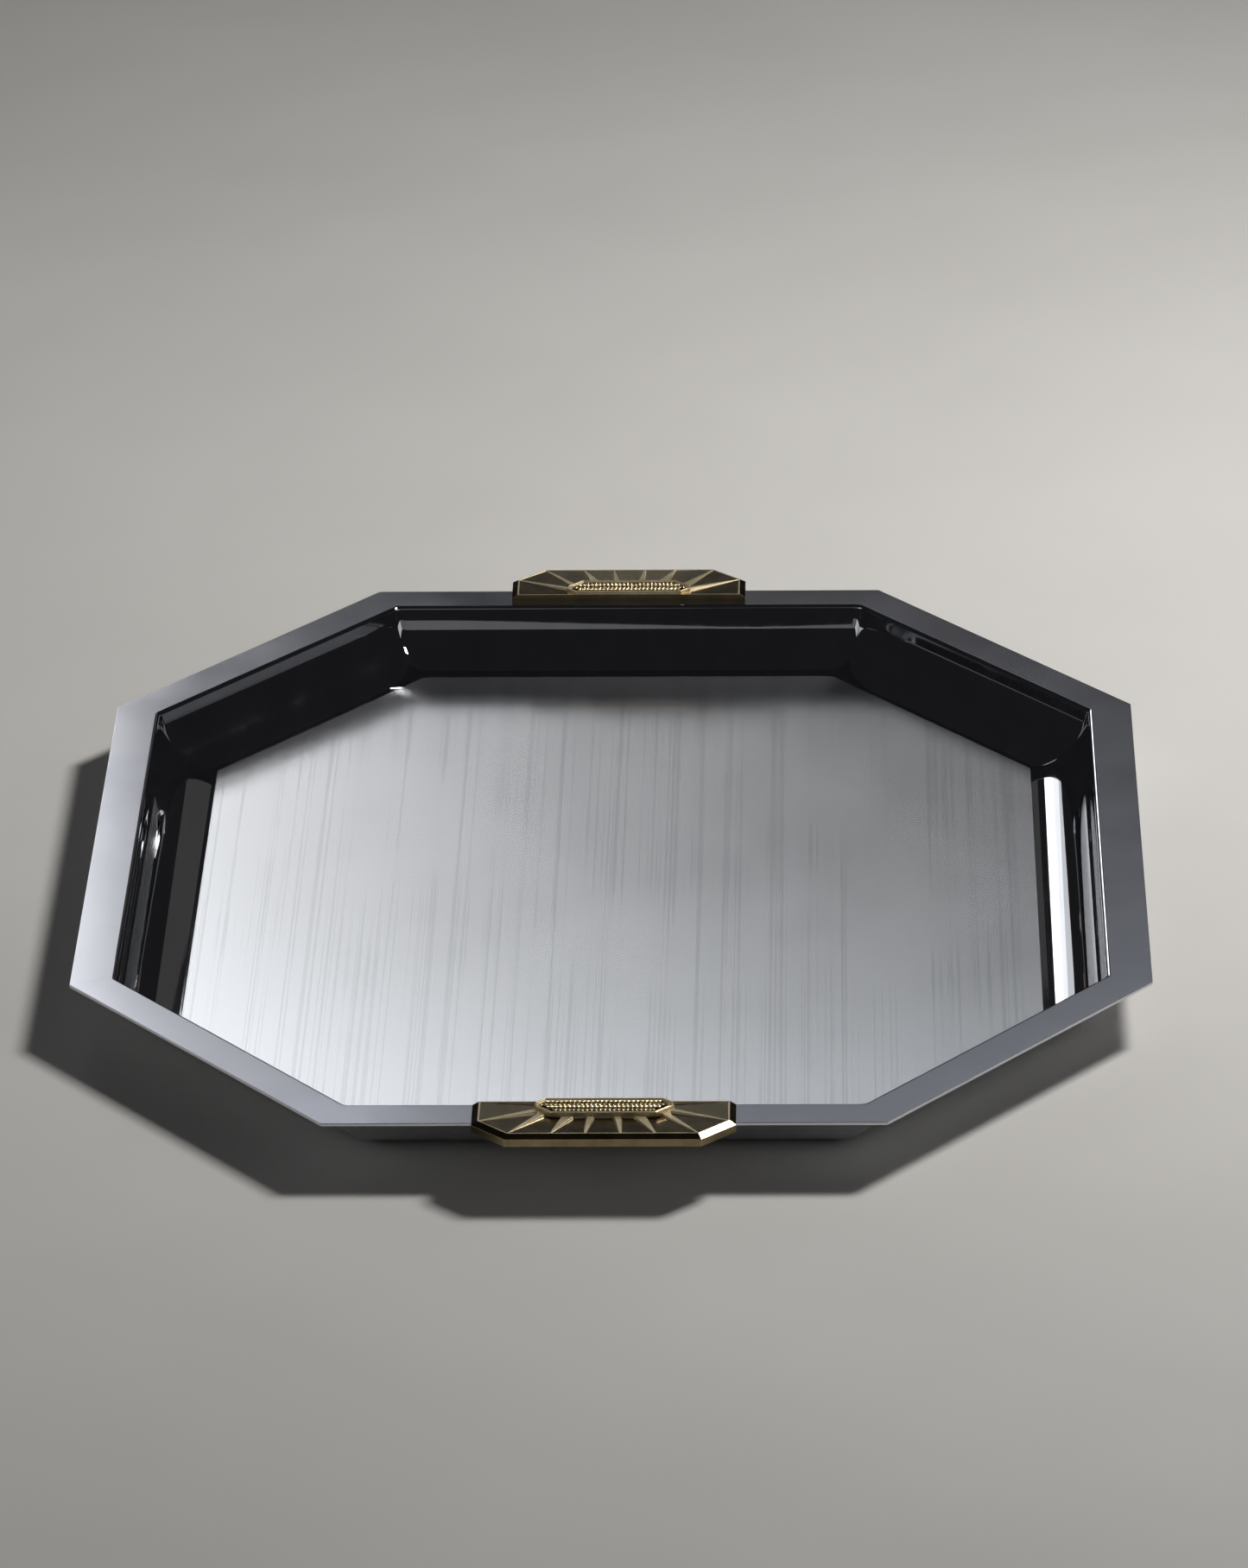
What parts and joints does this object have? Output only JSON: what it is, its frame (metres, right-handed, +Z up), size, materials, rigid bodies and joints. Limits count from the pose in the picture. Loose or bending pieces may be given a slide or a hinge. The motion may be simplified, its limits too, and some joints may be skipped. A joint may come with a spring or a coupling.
{
  "type": "serving tray",
  "caption": "Long octagonal steel serving tray with a flat rim, a coved mirror wall, a brushed floor and cast brass sunburst handles on its short ends.",
  "frame": {"origin": "centre of the tray's underside, on the surface that it stands on", "axes": "+Y along the length, to the back handle; +X to the right; +Z up out of the well"},
  "size_m": [0.36, 0.4958, 0.0245],
  "materials": {
    "tray_steel": "floor brushed along the length, wall and rim mirror polished",
    "cast_brass": "cast, satin facets between polished ribs",
    "polished_brass": "polished on the raised parts, dark in the grooves",
    "fastener_steel": "plain machined steel"
  },
  "bodies": {
    "root": {"tray_pan": "tray_steel", "back_handle_plate": "cast_brass", "back_badge_frame": "polished_brass", "back_rope_rows": "polished_brass", "back_screws": "fastener_steel", "back_washers": "fastener_steel", "front_handle_plate": "cast_brass", "front_badge_frame": "polished_brass", "front_rope_rows": "polished_brass", "front_screws": "fastener_steel", "front_washers": "fastener_steel"}
  },
  "joints": []
}
